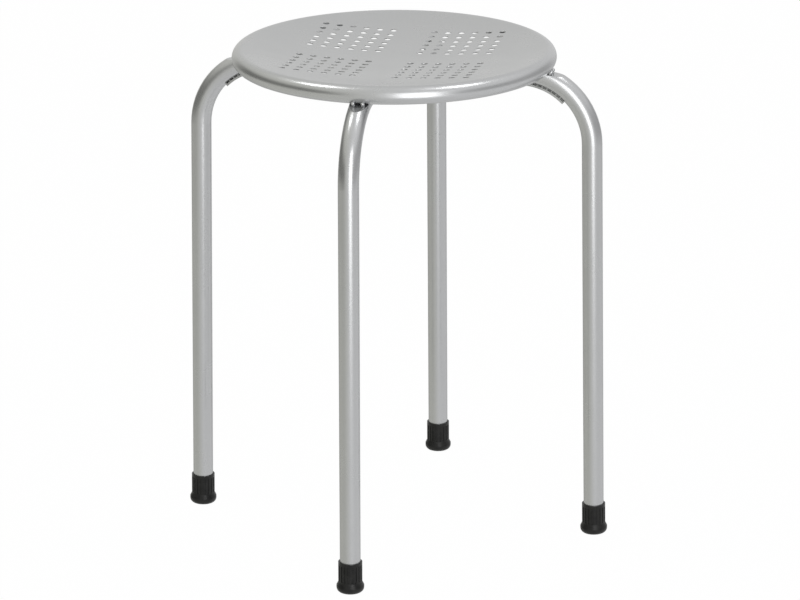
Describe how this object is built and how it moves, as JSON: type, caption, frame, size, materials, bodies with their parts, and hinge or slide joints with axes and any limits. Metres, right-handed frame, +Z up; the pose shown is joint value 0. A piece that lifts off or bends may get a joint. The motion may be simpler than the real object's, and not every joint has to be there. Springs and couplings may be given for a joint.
{
  "type": "stacking stool",
  "caption": "Round metal stacking stool: dished, perforated seat with a rolled rim on crossed bent tubes, with rubber feet and stacking pads under the bends.",
  "frame": {"origin": "on the floor, below the middle of the seat", "axes": "+Z up, +X towards the right leg, +Y towards the back leg; the front leg stands at -Y"},
  "size_m": [0.4092, 0.4092, 0.4635],
  "materials": {
    "coated_steel": "satin silver powder coat",
    "grey_plastic": "moulded, matt",
    "black_rubber": "matt",
    "zinc_steel": "zinc plated"
  },
  "bodies": {
    "root": {"seat_pan": "coated_steel", "side_leg_tube": "coated_steel", "front_back_leg_tube": "coated_steel", "lap_weld": "coated_steel", "rim_weld_right": "coated_steel", "stacking_pad_right": "grey_plastic", "rubber_foot_right": "black_rubber", "foot_washer_right": "zinc_steel", "rim_weld_back": "coated_steel", "stacking_pad_back": "grey_plastic", "rubber_foot_back": "black_rubber", "foot_washer_back": "zinc_steel", "rim_weld_left": "coated_steel", "stacking_pad_left": "grey_plastic", "rubber_foot_left": "black_rubber", "foot_washer_left": "zinc_steel", "rim_weld_front": "coated_steel", "stacking_pad_front": "grey_plastic", "rubber_foot_front": "black_rubber", "foot_washer_front": "zinc_steel"}
  },
  "joints": []
}
